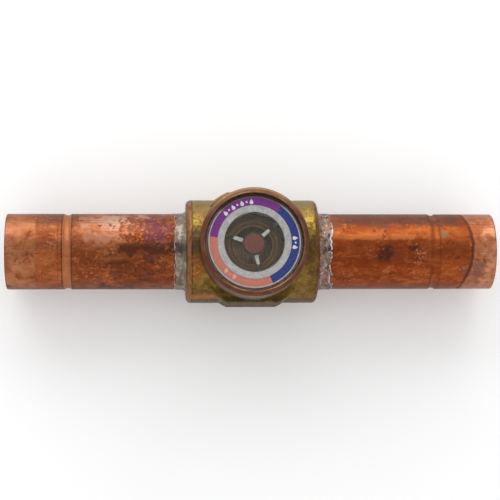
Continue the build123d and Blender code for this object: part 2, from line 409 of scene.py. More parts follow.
# Drawn copper tube at the inlet: salmon and brown, with pale patches that are partly painted highlight, and violet heat
# tint.
INLET_COPPER = Finish(
    "drawn_copper_inlet", "#945535", 1.0, 0.48,
    layers=(
        Layer("#78391d", (Grain(13, 0.42, 0.6, (2.2, 1, 1)),), 0.75),
        Layer("#b06c46", (Grain(6, 0.5, 0.66, (2.4, 1, 1), place=(5, 3, 0)),), 0.6, roughness=0.42),
        Layer("#7a3418", (Grain(3.4, 0.46, 0.64, (2.0, 1, 1), 5, 0.6, (9, 2, 6)),), 0.5),
        Layer("#bc7648", (Grain(2.6, 0.5, 0.68, (1.8, 1, 1), 5, 0.6, (2, 6, 9)),), 0.45, roughness=0.4),
        Layer("#b07656", (Span(Along.PIPE, -110, -89.5, 1.5, 0.5), Grain(5, 0.35, 0.6, place=(1, 1, 8))), 0.7),
        Layer("#8e5c2c", (Span(Along.PIPE, -99, -89, 5, 2), Grain(3, 0.5, 0.62, place=(2, 5, 8))), 0.6),
        Layer("#6a4638", (Span(Along.PIPE, -89.3, -72, 2, 1), Span(Along.ACROSS, 9.5, 17, 3, 2)), 0.6),
        Layer("#74402c", (Patch((-80, 0.2, CROWN), (10, 2.2, 6), 0.9, 0.4),), 0.65),
        # Pale salmon patches on the far side and crown: partly bare copper, partly a painted highlight.
        Layer("#bc9480", (Patch((-55, 11, 12), (13, 4.6, 8), 0.9, 0.7, 4),), 0.9, roughness=0.4),
        Layer("#ac7c66", (Patch((-61, 3.5, CROWN), (11, 2.6, 8), 1.0, 0.8, 3),), 0.6),
        Layer("#6e301a", (Patch((-44, 7.5, 13), (12, 6.5, 9), 0.5, 0.8, 2.4),), 0.85),
        Layer("#ba6a3c", (Patch((-48, 6, 14), (9, 5.5, 9), 0.6, 0.6, 3), Grain(1.3, 0.52, 0.6, place=(3, 1, 1))), 0.8,
              roughness=0.36),
        Layer("#8a5236", (Patch((-67, 8, 13), (7, 5, 8), 0.9, 0.7, 4),), 0.35),
        Layer("#5e3848", (Patch((-39.5, 5, 14), (5, 9, 14), 0.9, 0.7, 3),), 0.6),
        Layer("#4c2c20", (Patch((-43, -1.2, CROWN), (16, 3.0, 6), 0.7, 0.5, 3),), 0.85, roughness=0.52),
        Layer("#54301f", (Patch((-48, -9, 13), (12, 5, 9), 0.8, 0.9, 4),), 0.75),
        Layer("#70361c", (Span(Along.PIPE, -76, -33, 6, 3), Span(Along.ACROSS, -17, -3.5, 5, 2)), 0.5),
        Layer("#a8582c", (Span(Along.PIPE, -89, -79.5, 2, 1), Span(Along.ACROSS, -15, -1, 4, 2)), 0.4),
        Layer("#46302a", (Span(Along.PIPE, -63, -30, 5, 3), Span(Along.ACROSS, -16, -3, 4, 2),
                          Grain(4.6, 0.49, 0.6, (1.7, 1, 1), 4, 0.9, (3, 7, 2))), 0.7, roughness=0.52),
        Layer("#ac5a2e", (Span(Along.PIPE, -66, -31, 5, 3), Span(Along.ACROSS, -16, -3, 4, 2),
                          Grain(2.8, 0.54, 0.64, (1.7, 1, 1), 4, 0.9, (7, 7, 2))), 0.5),
        Layer("#7c3c26", (Patch((-39, -10, 12), (8, 6, 9), 0.8, 0.6, 3), Grain(1.2, 0.45, 0.6, place=(8, 1, 1))), 0.7),
        # Painted shade: both flanks darker where the tube turns down towards the floor.
        Layer("#5a3426", (Span(Along.PIPE_ANGLE, -180, -72, 16, 6, 5), Grain(4, 0.35, 0.6, place=(8, 8, 1))), 0.6),
        Layer("#63402f", (Span(Along.PIPE_ANGLE, 66, 180, 16, 6, 5), Grain(4, 0.35, 0.6, place=(1, 8, 1))), 0.5),
        Layer("#6c3a24", (Lines(Along.PIPE_ANGLE, 3.0, 0.5, 0.68), Grain(9, 0.42, 0.6, (3, 1, 1))), 0.55),
        Layer("#c27c50", (Grain(1.1, 0.5, 0.7, detail=5, place=(3, 9, 1)), Grain(8, 0.44, 0.6, place=(4, 4, 4))), 0.55),
        Layer("#4a2416", (Grain(1.2, 0.5, 0.7, detail=5, place=(1, 2, 3)), Grain(7, 0.46, 0.62, place=(6, 1, 4))), 0.65,
              roughness=0.52),
        Layer("#b4744a", (Span(Along.PIPE, -78.4, -75.0, 0.3),), 0.6),
        # Painted shade: dark lines along the walls of the groove.
        Layer("#4e2a1c", (Span(Along.PIPE, -79.0, -78.4, 0.3),), 0.7),
        Layer("#4e2a1c", (Span(Along.PIPE, -75.0, -74.5, 0.3),), 0.7),
        Layer("#5c3020", (Span(Along.PIPE, -80.6, -80.1, 0.3),), 0.45),
        Layer("#4a2c22", (Span(Along.PIPE, -110, -101.7, 0.5),), 0.35),
    ),
    reliefs=drawn_reliefs(0.0),
)
# Drawn copper tube at the outlet: redder all over from the torch, with a scale line near its mouth.
OUTLET_COPPER = Finish(
    "drawn_copper_outlet", "#8f4521", 1.0, 0.46,
    layers=(
        Layer("#743217", (Grain(12, 0.42, 0.62, (2.6, 1, 1), place=(3, 1, 0)),), 0.75),
        Layer("#a85a32", (Grain(6, 0.5, 0.66, (2.4, 1, 1), place=(7, 3, 2)),), 0.5),
        Layer("#702e14", (Grain(3.4, 0.46, 0.64, (2.2, 1, 1), 5, 0.6, (9, 4, 6)),), 0.5),
        Layer("#b46a3c", (Grain(2.6, 0.5, 0.68, (2.0, 1, 1), 5, 0.6, (4, 6, 9)),), 0.4, roughness=0.4),
        # Painted highlight: a bright band along the tube, a little to its far side.
        Layer("#b4683a", (Patch((53, 4.0, 15), (19, 1.3, 8), 0.9, 0.5, 4),), 0.6, roughness=0.38),
        Layer("#a4562a", (Patch((75, 6.5, 14), (13, 3.0, 8), 0.9, 0.4, 4),), 0.6),
        # Painted shade: a darker band along the crown, below the painted highlight.
        Layer("#7a3a20", (Span(Along.PIPE, 36, 91, 3), Span(Along.ACROSS, -5, 2.6, 1.2, 0.6),
                          Grain(7, 0.3, 0.6, (3, 1, 1), place=(4, 4, 1))), 0.65),
        Layer("#5c4034", (Span(Along.PIPE, 34, 88, 6, 3), Span(Along.PIPE_ANGLE, 34, 180, 18, 8, 5)), 0.7,
              roughness=0.52),
        # Painted shade: the near flank darker where the tube turns down towards the floor.
        Layer("#70412c", (Span(Along.PIPE_ANGLE, -180, -68, 14, 6, 5),), 0.4),
        Layer("#3e2824", (Patch((55.5, -2.6, CROWN), (3.4, 3.2, 5), 1.0, 0.6, 2),), 0.85, roughness=0.55),
        Layer("#46261c", (Patch((67.5, -0.8, CROWN), (2.2, 1.2, 4), 0.9, 0.8, 1.5),), 0.85, roughness=0.55),
        Layer("#c08068", (Patch((69.5, -5, CROWN), (2.4, 6, 5), 0.8, 0.9, 2), Grain(1.1, 0.5, 0.62, place=(5, 5, 1))),
              0.6),
        Layer("#7c6448", (Patch((80.2, 5.2, 14), (1.8, 1.9, 4), 0.4, 0.3, 2),), 0.7),
        Layer("#ad6e4e", (Span(Along.PIPE, 92.4, 120, 1.0, 0.5, 5, bow=0.016),), 0.85, roughness=0.38),
        Layer("#c98e6c", (Span(Along.PIPE, 96, 120, 4, 1), Grain(4, 0.42, 0.6, place=(6, 1, 3))), 0.6),
        Layer("#8c4a2e", (Span(Along.PIPE, 92.8, 120, 1.2, bow=0.016), Grain(3.4, 0.54, 0.64, place=(2, 4, 3))), 0.6),
        Layer("#8c4426", (Patch((94.2, 7.2, 14), (3.2, 3.4, 8), 0.6, 0.5, 2),), 0.6),
        Layer("#6e4a44", (Patch((93.5, -9.5, 12), (4.8, 3.6, 8), 0.9, 0.6, 3),), 0.7),
        Layer("#5a3226", (Span(Along.PIPE, 91.5, 92.7, 0.9, 0.5, 5, bow=0.016),), 0.9, roughness=0.55, height=0.06),
        Layer("#6c3822", (Lines(Along.PIPE_ANGLE, 3.0, 0.5, 0.68, place=3), Grain(9, 0.42, 0.6, (3, 1, 1))), 0.5),
        Layer("#bc6e3c", (Grain(1.1, 0.5, 0.7, detail=5, place=(3, 9, 7)), Grain(8, 0.44, 0.6, place=(4, 5, 4))), 0.5),
        Layer("#46200f", (Grain(1.2, 0.5, 0.7, detail=5, place=(6, 2, 5)), Grain(7, 0.46, 0.62, place=(6, 6, 4))), 0.65,
              roughness=0.52),
        # Painted shade: dark lines along the walls of the groove.
        Layer("#5c3020", (Span(Along.PIPE, 74.4, 75.1, 0.5),), 0.5),
        Layer("#5c3020", (Span(Along.PIPE, 78.2, 78.9, 0.5),), 0.5),
        Layer("#4a2c22", (Span(Along.PIPE, 101.7, 110, 0.5),), 0.35),
    ),
    reliefs=drawn_reliefs(20.0),
)
# Silver brazing alloy at the inlet: dull silver grey, smooth where it ran and darker where it scaled.
INLET_ALLOY = Finish(
    "silver_braze_inlet", "#807466", 0.9, 0.42,
    layers=(
        Layer("#665a50", (Grain(3.4, 0.42, 0.6, (0.7, 1.5, 1.5)),), 0.7, roughness=0.5),
        Layer("#a09a8e", (Grain(2.2, 0.5, 0.64, (0.7, 1.4, 1.4), place=(3, 3, 1)),), 0.7, roughness=0.36),
        Layer("#7a5444", (Grain(2.8, 0.54, 0.64, place=(8, 1, 5)),), 0.5),
        Layer("#302c2e", (Patch((-30.5, -0.8, CROWN), (3.4, 2.0, 5), 0.8, 0.6, 2),), 0.7, roughness=0.55),
        Layer("#3c3434", (Grain(1.3, 0.58, 0.7, place=(2, 8, 5)),), 0.5, roughness=0.6),
    ),
    reliefs=(Relief(0.05, Grain(1.4, detail=3)),),
)
# Silver brazing alloy at the outlet: pinkish where copper dissolved in it, with blue-black scale.
OUTLET_ALLOY = Finish(
    "silver_braze_outlet", "#7c6254", 0.9, 0.44,
    layers=(
        Layer("#94867c", (Grain(2.6, 0.44, 0.6, (0.7, 1.3, 1.3), place=(3, 3, 1)),), 0.7, roughness=0.38),
        Layer("#7c4c38", (Grain(2.2, 0.5, 0.62, place=(8, 1, 5)),), 0.75),
        Layer("#2c2a38", (Grain(2.0, 0.54, 0.62, (0.8, 1.4, 1.4), place=(2, 8, 5)),), 0.75, roughness=0.5),
        Layer("#c8bab0", (Grain(1.4, 0.58, 0.68, place=(5, 5, 5)),), 0.45),
    ),
    reliefs=(Relief(0.06, Grain(1.2, detail=3)),),
)
# Spent brazing flux: white to grey glassy salt, matt where it crumbled.
FLUX_RESIDUE = Finish(
    "brazing_flux_residue", "#d2cdca", 0.0, 0.6,
    layers=(
        Layer("#8c8482", (Grain(1.2, 0.45, 0.62),), 0.8),
        Layer("#eceae8", (Grain(0.9, 0.52, 0.64, place=(3, 3, 1)),), 0.7),
    ),
    reliefs=(Relief(0.08, Grain(0.5, detail=4)),),
)
# Where the barrel's finish changes: inside, at both ends, and where its sides curve under.
INNER_WALL = (Span(Along.WINDOW_RADIUS, -1, 17.2, 0.1), Span(Along.UP, -14.5, 18.6, 0.1))
LEFT_END = (Span(Along.PIPE, -40, -25.1, 0.4, 0.15), Span(Along.PIPE_RADIUS, 17, 40, 0.3))
LEFT_SEAM = (Span(Along.PIPE, -25.3, -24.7, 0.4, 0.15), Span(Along.PIPE_RADIUS, 17, 40, 0.3))
RIGHT_END = (Span(Along.PIPE, 25.8, 40, 0.4, 0.15), Span(Along.PIPE_RADIUS, 17, 40, 0.3))
FLOW_BORE = (Span(Along.WINDOW_RADIUS, -1, 17.2, 0.1), Span(Along.UP, -14.5, 13.0, 1.0))
NEAR_SHOULDER = (Span(Along.ACROSS, -40, -15, 0.5), Span(Along.PIPE_RADIUS, 20, 22, 0.5))
# Hot-forged brass: olive yellow under a brown heat film, with copper-red ends where zinc burned off.
FORGED_BRASS = Finish(
    "hot_forged_brass", "#785f2e", 1.0, 0.48,
    layers=(
        Layer("#5a4520", (Grain(9, 0.42, 0.62),), 0.8),
        Layer("#8f7636", (Grain(5, 0.52, 0.68, place=(3, 8, 1)),), 0.6, roughness=0.42),
        Layer("#5e4026", (Grain(3.6, 0.54, 0.66, place=(7, 2, 6)),), 0.6, roughness=0.52),
        # Painted highlight: the barrel's far side lighter, as if lit by the key light.
        Layer("#8f7a4c", (Span(Along.ACROSS, 13, 40, 5, 2, 6), Span(Along.PIPE_RADIUS, 19, 40, 0.5)), 0.7),
        # Painted highlights: bright yellow glints on the barrel either side of the window ring, broken up by grain.
        Layer("#ae9446", (Patch((-23, 10.5, 18), (3.0, 3.0, 6), 0.8, 0.8, 1.6), Grain(1.6, 0.4, 0.56)), 0.85),
        Layer("#ae9446", (Patch((23.6, 11, 17), (2.0, 4.4, 8), 0.8, 0.8, 2), Grain(1.6, 0.4, 0.56)), 0.85),
        # Painted shade: a dark patch on the barrel left of the window ring.
        Layer("#54463a", (Patch((-23, 0.5, 21), (3.8, 6.4, 8), 0.6, 0.7, 2),), 0.85, roughness=0.55),
        # Painted highlight: an orange patch low on the left of the window ring, with bright glints.
        Layer("#86502a", (Patch((-23, -8.5, 19), (3.2, 5.6, 8), 0.6, 0.7, 2),), 0.8),
        Layer("#c88440", (Patch((-23, -9, 19), (3.0, 5.6, 8), 0.7, 0.7, 1.4), Grain(1.0, 0.56, 0.64)), 0.7),
        # Painted shade: a dark patch on the barrel right of the window ring.
        Layer("#4c3824", (Patch((24, -3, 20), (2.8, 8, 8), 0.8, 0.8, 3),), 0.75),
        # Painted shade: the barrel's near side and its flat darker, away from the key light; the flat is also made
        # duller.
        Layer("#4c3a20", (Span(Along.ACROSS, -40, -20.5, 1.5, 0.6), Grain(4, 0.2, 0.5, place=(3, 3, 3))), 0.85),
        Layer("#3c2c12", (Span(Along.ACROSS, -40, -21.9, 0.2),), 0.8, metallic=0.6, roughness=0.65),
        Layer("#8e5e42", LEFT_END, 0.9),
        Layer("#6c3c28", LEFT_END + (Grain(1.4, 0.5, 0.62, (0.5, 3, 3), place=(2, 7, 3)),), 0.8),
        Layer("#3e2c1c", LEFT_SEAM, 0.7),
        Layer("#74482a", RIGHT_END, 0.8),
        Layer("#4c3020", RIGHT_END + (Grain(2.6, 0.5, 0.6, (0.6, 2, 2), place=(5, 7, 3)),), 0.7),
        Layer("#a8623a", NEAR_SHOULDER + (Span(Along.UP, 6.4, 9.6, 1.2, 0.7, 4), Span(Along.PIPE, -27, -12, 4, 2)),
              0.85),
        Layer("#8c5632", NEAR_SHOULDER + (Span(Along.UP, 6.8, 9.4, 1.2, 0.7, 4), Span(Along.PIPE, 11, 26, 4, 2)), 0.7),
        Layer("#6b4424", (Grain(2.4, 0.5, 0.66, detail=5, warp=0.6, place=(9, 9, 3)),), 0.42),
        Layer("#8e7638", (Grain(2.0, 0.52, 0.68, detail=5, warp=0.6, place=(3, 9, 9)),), 0.36, roughness=0.42),
        Layer("#5c3f22", INNER_WALL, 0.9, roughness=0.36),
        Layer("#3a2614", INNER_WALL + (Lines(Along.WINDOW_RADIUS, 1.3, 0.44, 0.56),), 0.8),
        Layer("#8a6432", INNER_WALL + (Lines(Along.WINDOW_RADIUS, 0.9, 0.54, 0.62, place=4.4),), 0.7),
        Layer("#c9a468", FLOW_BORE, 0.85, roughness=0.4),
        Layer("#8a6438", FLOW_BORE + (Lines(Along.PIPE, 0.9, 0.45, 0.6),), 0.6),
        Layer("#3a2e1e", (Grain(1.1, 0.6, 0.7, place=(1, 9, 2), detail=4),), 0.5, roughness=0.6),
        Layer("#9c8440", (Grain(1.2, 0.54, 0.72, place=(6, 9, 2), detail=4),), 0.3),
    ),
    reliefs=(
        Relief(0.06, Grain(0.9, detail=5)),
        Relief(0.16, Grain(5.0)),
        Relief(0.05, Lines(Along.WINDOW_RADIUS, 0.8), INNER_WALL),
    ),
)
# Turned brass browned by the brazing heat: red-brown oxide with painted highlights along its edges, and tool
# rings that are coarser than real ones, so that they show.
BROWNED_BRASS = Finish(
    "browned_turned_brass", "#7c5442", 1.0, 0.4,
    layers=(
        Layer("#5a3c30", (Grain(5, 0.42, 0.6),), 0.8),
        Layer("#916850", (Grain(3.2, 0.54, 0.68, place=(2, 6, 1)),), 0.6, roughness=0.34),
        Layer("#985636", (Span(Along.WINDOW_RADIUS, 21.6, 30, 0.5), Grain(4, 0.35, 0.6, place=(7, 7, 1))), 0.6),
        # Painted highlights: thin bright arcs on the lip's inner and outer roundings.
        Layer("#b8945c", (Span(Along.WINDOW_RADIUS, 20.1, 20.6, 0.25), Grain(9, 0.44, 0.6, place=(1, 7, 1))), 0.65,
              roughness=0.24),
        Layer("#a86a44", (Span(Along.WINDOW_RADIUS, 21.2, 21.4, 0.25), Grain(11, 0.42, 0.6, place=(4, 7, 1))), 0.6,
              roughness=0.24),
        # Painted shade: the ring darker all round except on its far side.
        Layer("#4e3026", (Span(Along.DIAL_ANGLE, -200, 30, 30, 5),), 0.5),
        Layer("#4e3026", (Span(Along.DIAL_ANGLE, 145, 200, 30, 5),), 0.5),
        # Painted highlight: the top face lighter on the far side.
        Layer("#a58468", (Span(Along.DIAL_ANGLE, 45, 135, 30, 5), Span(Along.UP, 29.9, 40, 0.4)), 0.45),
        Layer("#3a2a20", (Lines(Along.WINDOW_RADIUS, 0.35, 0.52, 0.64),), 0.5),
        Layer("#5c4030", (Span(Along.WINDOW_RADIUS, -1, 20.0, 0.3),), 0.5, roughness=0.45),
        Layer("#a06a34", (Span(Along.WINDOW_RADIUS, -1, 20.2, 0.3), Grain(1.6, 0.52, 0.62, place=(1, 2, 9))), 0.7),
        # Painted shade: the ring's outer wall below its top face darker; it is also made less metallic.
        Layer("#4a3022", (Span(Along.WINDOW_RADIUS, 22.2, 30, 0.2), Span(Along.UP, 15, 29.6, 1.0)), 0.55, metallic=0.6),
        Layer("#35231a", (Grain(0.9, 0.6, 0.7, detail=4),), 0.4, roughness=0.55),
    ),
    reliefs=(
        Relief(0.04, Lines(Along.WINDOW_RADIUS, 0.4)),
        Relief(0.03, Lines(Along.UP, 0.4)),
        Relief(0.03, Grain(0.8, detail=4)),
    ),
)
# Nickel-plated steel, tumbled dull: soft silver grey, pocked and faintly stained.
PLATED_STEEL = Finish(
    "dull_nickel_plate", "#a9a8a6", 0.8, 0.5,
    layers=(
        Layer("#92908e", (Grain(2.6, 0.42, 0.62),), 0.5),
        Layer("#c4c3c1", (Grain(1.2, 0.5, 0.68, place=(4, 2, 1)),), 0.5),
        Layer("#86847f", (Grain(0.9, 0.56, 0.72, place=(1, 2, 7)),), 0.3),
        # Painted shade: the shell's rim dark brown on the far side, as if in the shadow of the ring's lip.
        Layer("#55402f", (Span(Along.WINDOW_RADIUS, 18.3, 22, 0.1), Patch((-3, 20, 28.7), (17, 8, 6), 0.5, 0.2)), 0.85),
        Layer("#4a4038", (Span(Along.WINDOW_RADIUS, 11, 12.3, 0.15, 0.05),), 0.6),
    ),
    reliefs=(Relief(0.02, Grain(0.5, detail=4)), Relief(0.01, Lines(Along.WINDOW_RADIUS, 0.4))),
)
# Bright spring strip: rolled steel, clean and shiny, with rolling marks.
SPRING_STEEL = Finish(
    "spring_steel_strip", "#dadad6", 1.0, 0.3,
    layers=(
        Layer("#a09e9a", (Grain(0.9, 0.45, 0.62),), 0.6, roughness=0.36),
        # Painted shade: the legs darker beyond where they bend down away from the window.
        Layer("#6c6a64", (Span(Along.WINDOW_RADIUS, 8.9, 30, 0.3),), 0.7, roughness=0.4),
    ),
    reliefs=(Relief(0.01, Grain(0.3)),),
)
# Thin steel washer, oiled and baked brown by the brazing heat.
BAKED_STEEL = Finish(
    "heat_browned_steel", "#6a5040", 0.9, 0.4,
    layers=(Layer("#3a2a20", (Grain(1.4, 0.45, 0.62),), 0.7, roughness=0.5),),
    reliefs=(Relief(0.01, Grain(0.5)),),
)
# Screen-printed film: flat inks in three sectors on a satin film, with the grain of the screen
# drawn coarser than it is, so that it shows.
DIAL_FILM = Finish(
    "printed_dial_film", "#6a2076", 0.0, 0.6,
    layers=(
        Layer("#b46a59", (Span(Along.DIAL_ANGLE, 173.0, 400.0, 0.5),), 1.0),
        Layer("#b46a59", (Span(Along.DIAL_ANGLE, -400.0, -66.4, 0.5),), 1.0),
        Layer("#1a2e70", (Span(Along.DIAL_ANGLE, -66.4, 52.6, 0.5),), 1.0),
        Layer("#ffffff", (Grain(0.5, 0.35, 0.7),), 0.04),
        Layer("#1c1a20", (Grain(1.6, 0.56, 0.75, place=(3, 1, 2)),), 0.16),
    ),
    reliefs=(Relief(0.008, Grain(0.4)),),
    ior=1.28,
)
# White screen ink of the dial's marks, a little worn.
WHITE_INK = Finish(
    "white_screen_ink", "#cdc8d0", 0.0, 0.5,
    layers=(Layer("#9c94a4", (Grain(0.7, 0.5, 0.66),), 0.5),),
)
# The same ink rubbed thin, so that the colour under it shows.
THIN_INK = Finish(
    "thin_screen_ink", "#cc9c92", 0.0, 0.5,
    layers=(Layer("#b87868", (Grain(0.7, 0.45, 0.62),), 0.7),),
)
# Soda-lime glass fused in place: clear, with a faint warm cast where it is thick. The index is low
# for glass, so that a bright room doesn't veil the indicator.
SIGHT_GLASS = Finish("fused_sight_glass", "#f1f2ec", 0.0, 0.02, transmission=1.0, ior=1.38,
                     layers=(Layer("#e4e6da", (Span(Along.WINDOW_RADIUS, 10.6, 14, 1.2),), 0.8),
                             Layer("#e9eae2", (Grain(5.0, 0.45, 0.6),), 0.5)))
# Filter paper soaked in the indicator salt: matt reddish brown, pinker at the rim, with fibres.
INDICATOR_PAPER = Finish(
    "indicator_paper", "#92483a", 0.0, 0.85,
    layers=(
        Layer("#9c4844", (Span(Along.WINDOW_RADIUS, 3.0, 9, 0.9, 0.5, 2),), 0.8),
        Layer("#a2644e", (Grain(0.6, 0.5, 0.66, (3, 1, 1)),), 0.5),
        Layer("#6a3a2e", (Grain(0.8, 0.55, 0.7, (1, 3, 1), place=(2, 2, 2)),), 0.4),
    ),
    reliefs=(Relief(0.04, Grain(0.4, stretch=(3, 1, 1), detail=4)),),
)
# Pressed wool felt: off-white, fibrous.
WICK_FELT = Finish(
    "wick_felt", "#cfc3ad", 0.0, 0.95,
    layers=(Layer("#a99b84", (Grain(0.4, 0.42, 0.6, (3, 1, 1)),), 0.6),),
    reliefs=(Relief(0.08, Grain(0.3, stretch=(2, 1, 1), detail=5)),),
)
# Tinned brass pressing, tarnished to dull brown grey.
TINNED_BRASS = Finish(
    "tarnished_tinned_brass", "#4c3e34", 0.9, 0.5,
    layers=(
        Layer("#30281f", (Grain(1.2, 0.45, 0.62),), 0.7),
        Layer("#6c5c4c", (Grain(0.8, 0.56, 0.68, place=(4, 4, 1)),), 0.5),
    ),
    reliefs=(Relief(0.01, Grain(0.4)),),
)
# Skived fluoropolymer sheet: waxy white with knife lines.
SKIVED_PTFE = Finish(
    "skived_ptfe", "#e0deda", 0.0, 0.55,
    layers=(Layer("#c9c6be", (Grain(3.0, 0.45, 0.6, (4, 1, 1)),), 0.4),),
    reliefs=(Relief(0.02, Grain(0.5, stretch=(10, 1, 1))),),
    subsurface=0.2,
)
# Studio sweep: matt off-white paint, faintly uneven.
STUDIO_WHITE = Finish(
    "studio_white_paint", "#fafafa", 0.0, 0.95,
    layers=(Layer("#f4f4f4", (Grain(60.0, 0.3, 0.7),), 0.2),),
)


# --- Making meshes -----------------------------------------------------------------------


def settle(piece: bpy.types.Object) -> None:
    """Merge doubles and point the faces outwards.

    Args:
        piece: A piece made in this file.
    """
    work = bmesh.new()
    work.from_mesh(piece.data)
    bmesh.ops.remove_doubles(work, verts=work.verts, dist=MERGE)
    bmesh.ops.recalc_face_normals(work, faces=work.faces)
    work.to_mesh(piece.data)
    work.free()


def lathe(name: str, section: list[tuple[float, float]], around: int) -> bpy.types.Object:
    """Turn a section round the window axis.

    Args:
        name: The piece's name.
        section: Radius and height of each point in mm, from the axis above to the axis below.
        around: Steps in a turn.

    Returns:
        The piece, closed and smooth.
    """
    work = bmesh.new()
    rings = []
    for radius, height in section:
        if radius == 0:
            rings.append([work.verts.new((0.0, 0.0, height * MM))] * around)
            continue
        turns = [math.tau * step / around for step in range(around)]
        rings.append([
            work.verts.new((radius * MM * math.cos(turn), radius * MM * math.sin(turn), height * MM))
            for turn in turns
        ])
    for upper, lower in zip(rings, rings[1:]):
        for step in range(around):
            corners = [upper[step], lower[step], lower[(step + 1) % around], upper[(step + 1) % around]]
            work.faces.new(dict.fromkeys(corners)).smooth = True
    bmesh.ops.recalc_face_normals(work, faces=work.faces)
    mesh = bpy.data.meshes.new(name)
    work.to_mesh(mesh)
    work.free()
    piece = bpy.data.objects.new(name, mesh)
    bpy.context.scene.collection.objects.link(piece)
    return piece


def dress(piece: bpy.types.Object, finish: Finish) -> None:
    """Give a piece one finish all over.

    Args:
        piece: A CAD node or a new piece.
        finish: What it is made of.
    """
    piece.data.materials.clear()
    piece.data.materials.append(finish.material())
    LOG.info("%s: %s, %d faces", piece.name, finish.name, len(piece.data.polygons))


def carry(node: str, finish: Finish) -> None:
    """Keep a CAD node's shape and give it a finish.

    Args:
        node: The node's name.
        finish: What it is made of.
    """
    dress(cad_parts[node], finish)


class GeometryRule:
    """A Geometry Nodes tree with named inputs, made into plain meshes."""

    KINDS = {float: "NodeSocketFloat", int: "NodeSocketInt", bpy.types.Material: "NodeSocketMaterial"}

    def __init__(self, name: str, sizes: dict[str, float | int | bpy.types.Material]) -> None:
        """Start a tree.

        Args:
            name: The tree's name.
            sizes: Each input's name with the value that it usually has.
        """
        self.tree = bpy.data.node_groups.new(name, "GeometryNodeTree")
        self.sizes = sizes
        self.keys = {
            label: self.tree.interface.new_socket(label, in_out="INPUT", socket_type=self.KINDS[type(value)]).identifier
            for label, value in sizes.items()
        }
        self.tree.interface.new_socket("Geometry", in_out="OUTPUT", socket_type="NodeSocketGeometry")
        self.given = add(self.tree, "NodeGroupInput").outputs

    def end(self, parts: list[tuple[bpy.types.NodeSocket, str]]) -> None:
        """Join finished parts and end the tree.

        Args:
            parts: Each part's geometry with the name of the input that holds its material.
        """
        whole = add(self.tree, "GeometryNodeJoinGeometry")
        for geometry, material in reversed(parts):
            real = add(self.tree, "GeometryNodeRealizeInstances", {0: geometry})
            painted = add(self.tree, "GeometryNodeSetMaterial", {"Geometry": real, "Material": self.given[material]})
            self.tree.links.new(painted.outputs[0], whole.inputs[0])
        add(self.tree, "NodeGroupOutput", {0: whole})

    def make(self, name: str, **changes: float | int | bpy.types.Material) -> bpy.types.Object:
        """Run the tree into a plain mesh.

        Args:
            name: The piece's name.
            changes: Inputs that differ from the usual ones, with _ for a space.

        Returns:
            The piece, with no modifier.
        """
        piece = bpy.data.objects.new(name, bpy.data.meshes.new(name))
        bpy.context.scene.collection.objects.link(piece)
        modifier = piece.modifiers.new(self.tree.name, "NODES")
        modifier.node_group = self.tree
        for label, usual in self.sizes.items():
            modifier[self.keys[label]] = changes.get(label.lower().replace(" ", "_"), usual)
        graph = bpy.context.evaluated_depsgraph_get()
        mesh = bpy.data.meshes.new_from_object(piece.evaluated_get(graph))
        while mesh.materials[0] is None:
            mesh.materials.pop(index=0)
        piece.modifiers.clear()
        piece.data = mesh
        settle(piece)
        LOG.info("%s: %d faces from rule %s", name, len(mesh.polygons), self.tree.name)
        return piece


# --- Sub-assemblies ----------------------------------------------------------------------


class Side(Enum):
    """Which end of the body."""

    INLET = -1
    OUTLET = 1


